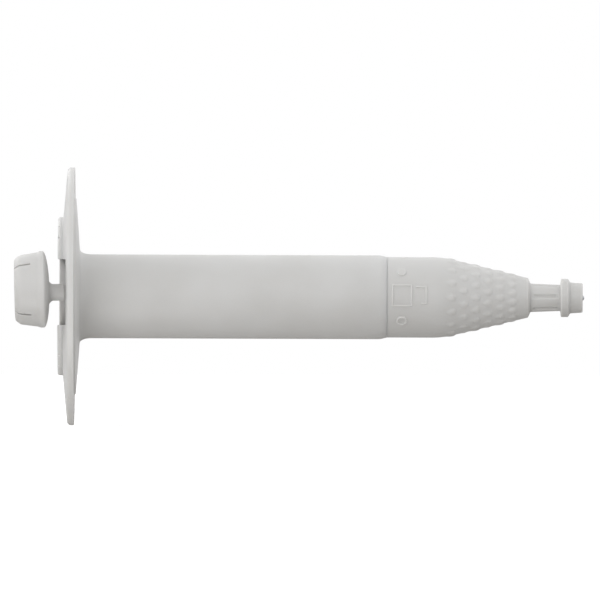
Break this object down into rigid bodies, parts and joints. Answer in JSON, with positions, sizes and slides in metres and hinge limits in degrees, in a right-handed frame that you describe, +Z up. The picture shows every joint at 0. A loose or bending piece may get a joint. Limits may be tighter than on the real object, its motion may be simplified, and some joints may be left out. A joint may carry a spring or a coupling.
{
  "type": "wall anchor",
  "caption": "Plate anchor for insulation boards: a hollow plastic sleeve with a round plate, a tapered driving tip with a preset steel nail, and a closing plug parked beside the mouth.",
  "frame": {"origin": "centre of the plate's back face, on the anchor's axis", "axes": "+X along the anchor's axis, the way it goes into the wall; +Z up; the closing plug is parked on the -Y side of the plate's front"},
  "size_m": [0.1327, 0.06, 0.06],
  "materials": {
    "sleeve_plastic": "natural polyethylene, satin, slightly translucent",
    "tip_plastic": "natural polyethylene, satin, slightly translucent",
    "washer_plastic": "moulded natural polyethylene, smooth",
    "nail_steel": "hardened steel, zinc plated, bright with drawn marks",
    "washer_steel": "punched steel, zinc plated",
    "plug_plastic": "natural polyethylene, satin, slightly translucent"
  },
  "bodies": {
    "sleeve": {"plate_sleeve": "sleeve_plastic", "driving_tip": "tip_plastic", "guide_washer": "washer_plastic"},
    "nail": {"drive_nail": "nail_steel", "head_washer": "washer_steel"},
    "plug": {"closing_plug": "plug_plastic"}
  },
  "joints": [
    {"name": "nail_drive", "type": "slide", "parent": "sleeve", "child": "nail", "axis": [1, 0, 0], "range_m": [0, 0.02]},
    {"name": "plug_pull", "type": "slide", "parent": "sleeve", "child": "plug", "axis": [-1, 0, 0], "range_m": [0, 0.015]}
  ]
}
